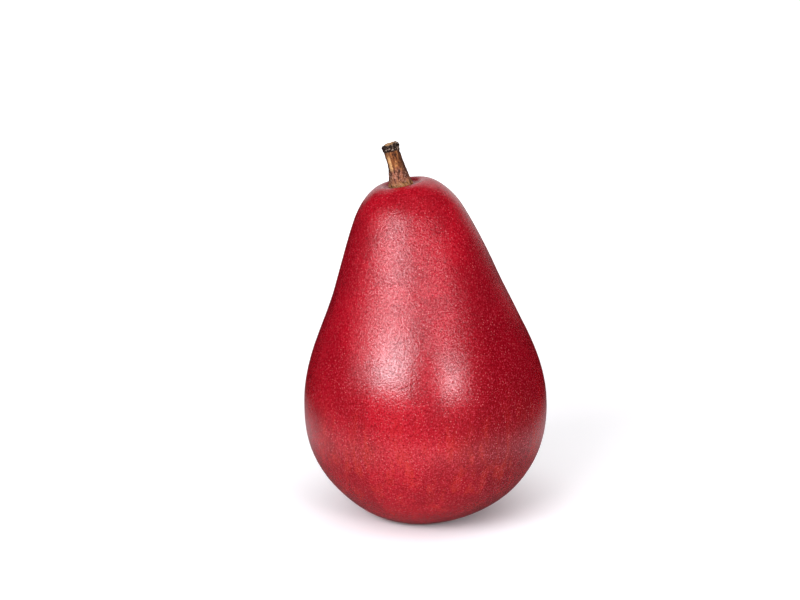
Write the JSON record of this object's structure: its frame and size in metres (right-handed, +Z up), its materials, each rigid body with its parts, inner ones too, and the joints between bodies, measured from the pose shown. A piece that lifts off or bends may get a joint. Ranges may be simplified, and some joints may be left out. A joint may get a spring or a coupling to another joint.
{
  "type": "pear",
  "caption": "Ripe red pear standing upright on its calyx end, with a short woody stem that leans to one side.",
  "frame": {"origin": "middle of the pear's box, on the surface it stands on", "axes": "+Z up from the flat spot at the calyx end towards the stem, -Y the side seen from the front, +X to the right seen from the front, so the stem leans towards -X"},
  "size_m": [0.0728, 0.0728, 0.1139],
  "materials": {
    "pear_skin": "satin",
    "stem_bark": "matte",
    "dried_calyx": "matte"
  },
  "bodies": {
    "root": {"fruit": "pear_skin", "stem": "stem_bark", "sepal_1": "dried_calyx", "sepal_2": "dried_calyx", "sepal_3": "dried_calyx", "sepal_4": "dried_calyx", "sepal_5": "dried_calyx", "dried_stamens": "dried_calyx"}
  },
  "joints": []
}
